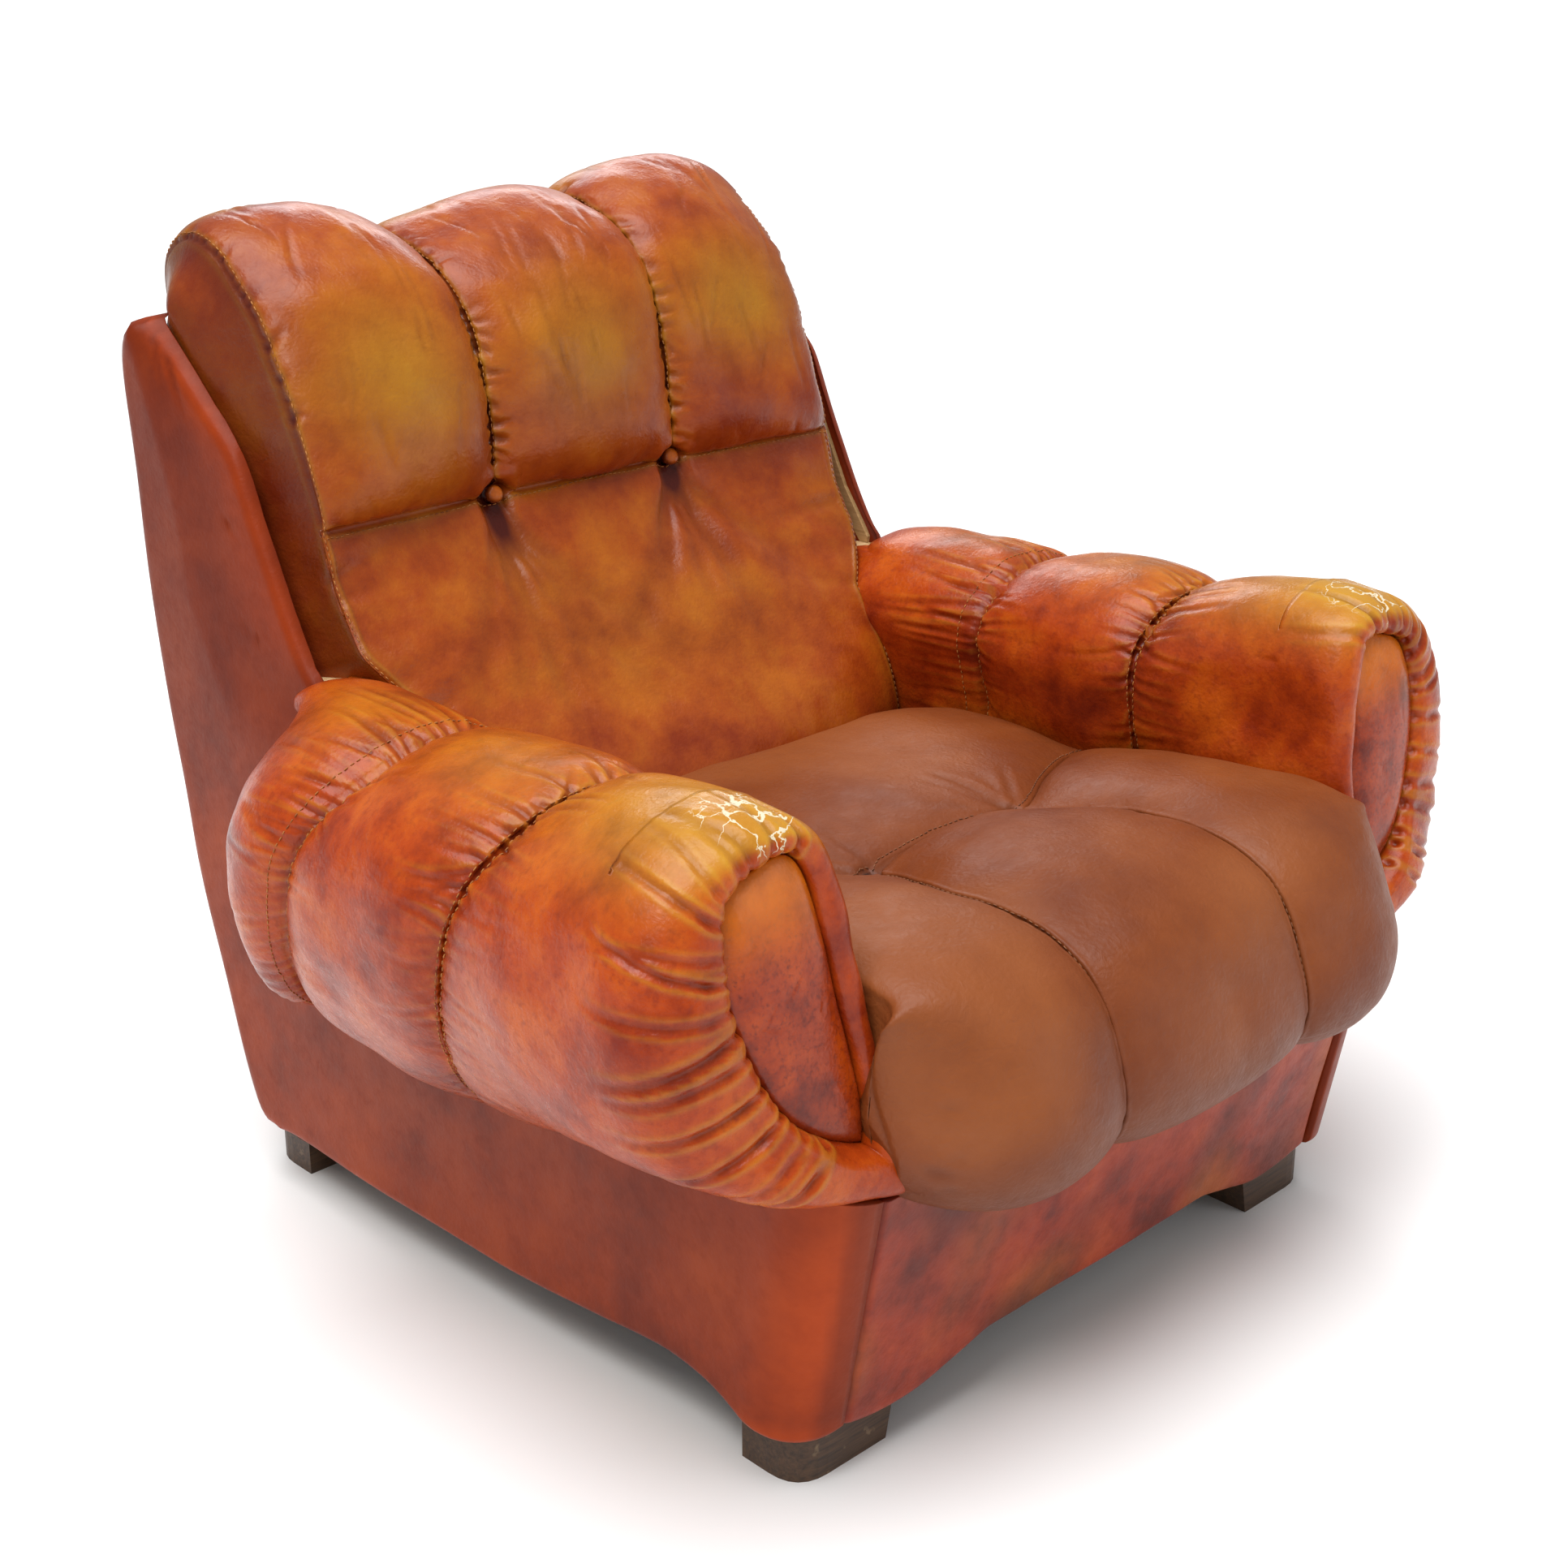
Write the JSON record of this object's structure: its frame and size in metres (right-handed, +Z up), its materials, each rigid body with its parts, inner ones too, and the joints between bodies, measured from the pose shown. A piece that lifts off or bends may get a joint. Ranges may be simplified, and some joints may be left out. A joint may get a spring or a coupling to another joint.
{
  "type": "leather club chair",
  "caption": "Worn leather club chair with channelled head cushion, fat three-lobed arms, loose seat cushion and low block feet.",
  "frame": {"origin": "on the floor, under the middle of the chair's bounding box", "axes": "+Z up; the chair faces -Y; +X is the sitter's left-hand side as seen from the front, which is the viewer's right"},
  "size_m": [1.0304, 1.0386, 0.9171],
  "materials": {
    "cognac_leather": "glossy, antiqued, worn to ochre on the crowns and oxblood in the folds",
    "brown_leather": "semi-matt, pebbled grain",
    "foot_wood": "dark stain, worn edges",
    "frame_wood": "sawn, unfinished beech",
    "plywood": "unfinished",
    "webbing": "rubberised woven strap",
    "deck_cloth": "plain weave canvas",
    "dust_cloth": "thin non-woven cloth",
    "screw_steel": "zinc plated"
  },
  "bodies": {
    "root": {"foot_front_left": "foot_wood", "foot_screw_front_left": "screw_steel", "corner_block_front_left": "frame_wood", "foot_rear_left": "foot_wood", "foot_screw_rear_left": "screw_steel", "corner_block_rear_left": "frame_wood", "foot_front_right": "foot_wood", "foot_screw_front_right": "screw_steel", "corner_block_front_right": "frame_wood", "foot_rear_right": "foot_wood", "foot_screw_rear_right": "screw_steel", "corner_block_rear_right": "frame_wood", "front_post_left": "frame_wood", "back_post_left": "frame_wood", "side_base_rail_left": "frame_wood", "side_seat_rail_left": "frame_wood", "arm_top_rail_left": "frame_wood", "side_board_left": "plywood", "front_post_right": "frame_wood", "back_post_right": "frame_wood", "side_base_rail_right": "frame_wood", "side_seat_rail_right": "frame_wood", "arm_top_rail_right": "frame_wood", "side_board_right": "plywood", "front_base_rail": "frame_wood", "front_seat_rail": "frame_wood", "back_base_rail": "frame_wood", "back_top_rail": "frame_wood", "rear_seat_rail": "frame_wood", "lower_back_rail": "frame_wood", "seat_webbing_1": "webbing", "seat_webbing_2": "webbing", "seat_webbing_3": "webbing", "seat_webbing_4": "webbing", "seat_webbing_5": "webbing", "seat_deck": "deck_cloth", "back_webbing_1": "webbing", "back_webbing_2": "webbing", "back_webbing_3": "webbing", "dust_cover": "dust_cloth", "front_apron": "cognac_leather", "outer_back": "cognac_leather", "side_cover_left": "cognac_leather", "wing_pad_left": "cognac_leather", "arm_pad_left": "cognac_leather", "arm_front_insert_left": "cognac_leather", "arm_front_board_left": "plywood", "back_button_left": "cognac_leather", "side_cover_right": "cognac_leather", "wing_pad_right": "cognac_leather", "arm_pad_right": "cognac_leather", "arm_front_insert_right": "cognac_leather", "arm_front_board_right": "plywood", "back_button_right": "cognac_leather", "back_cushion": "cognac_leather", "seat_cushion": "brown_leather"}
  },
  "joints": []
}
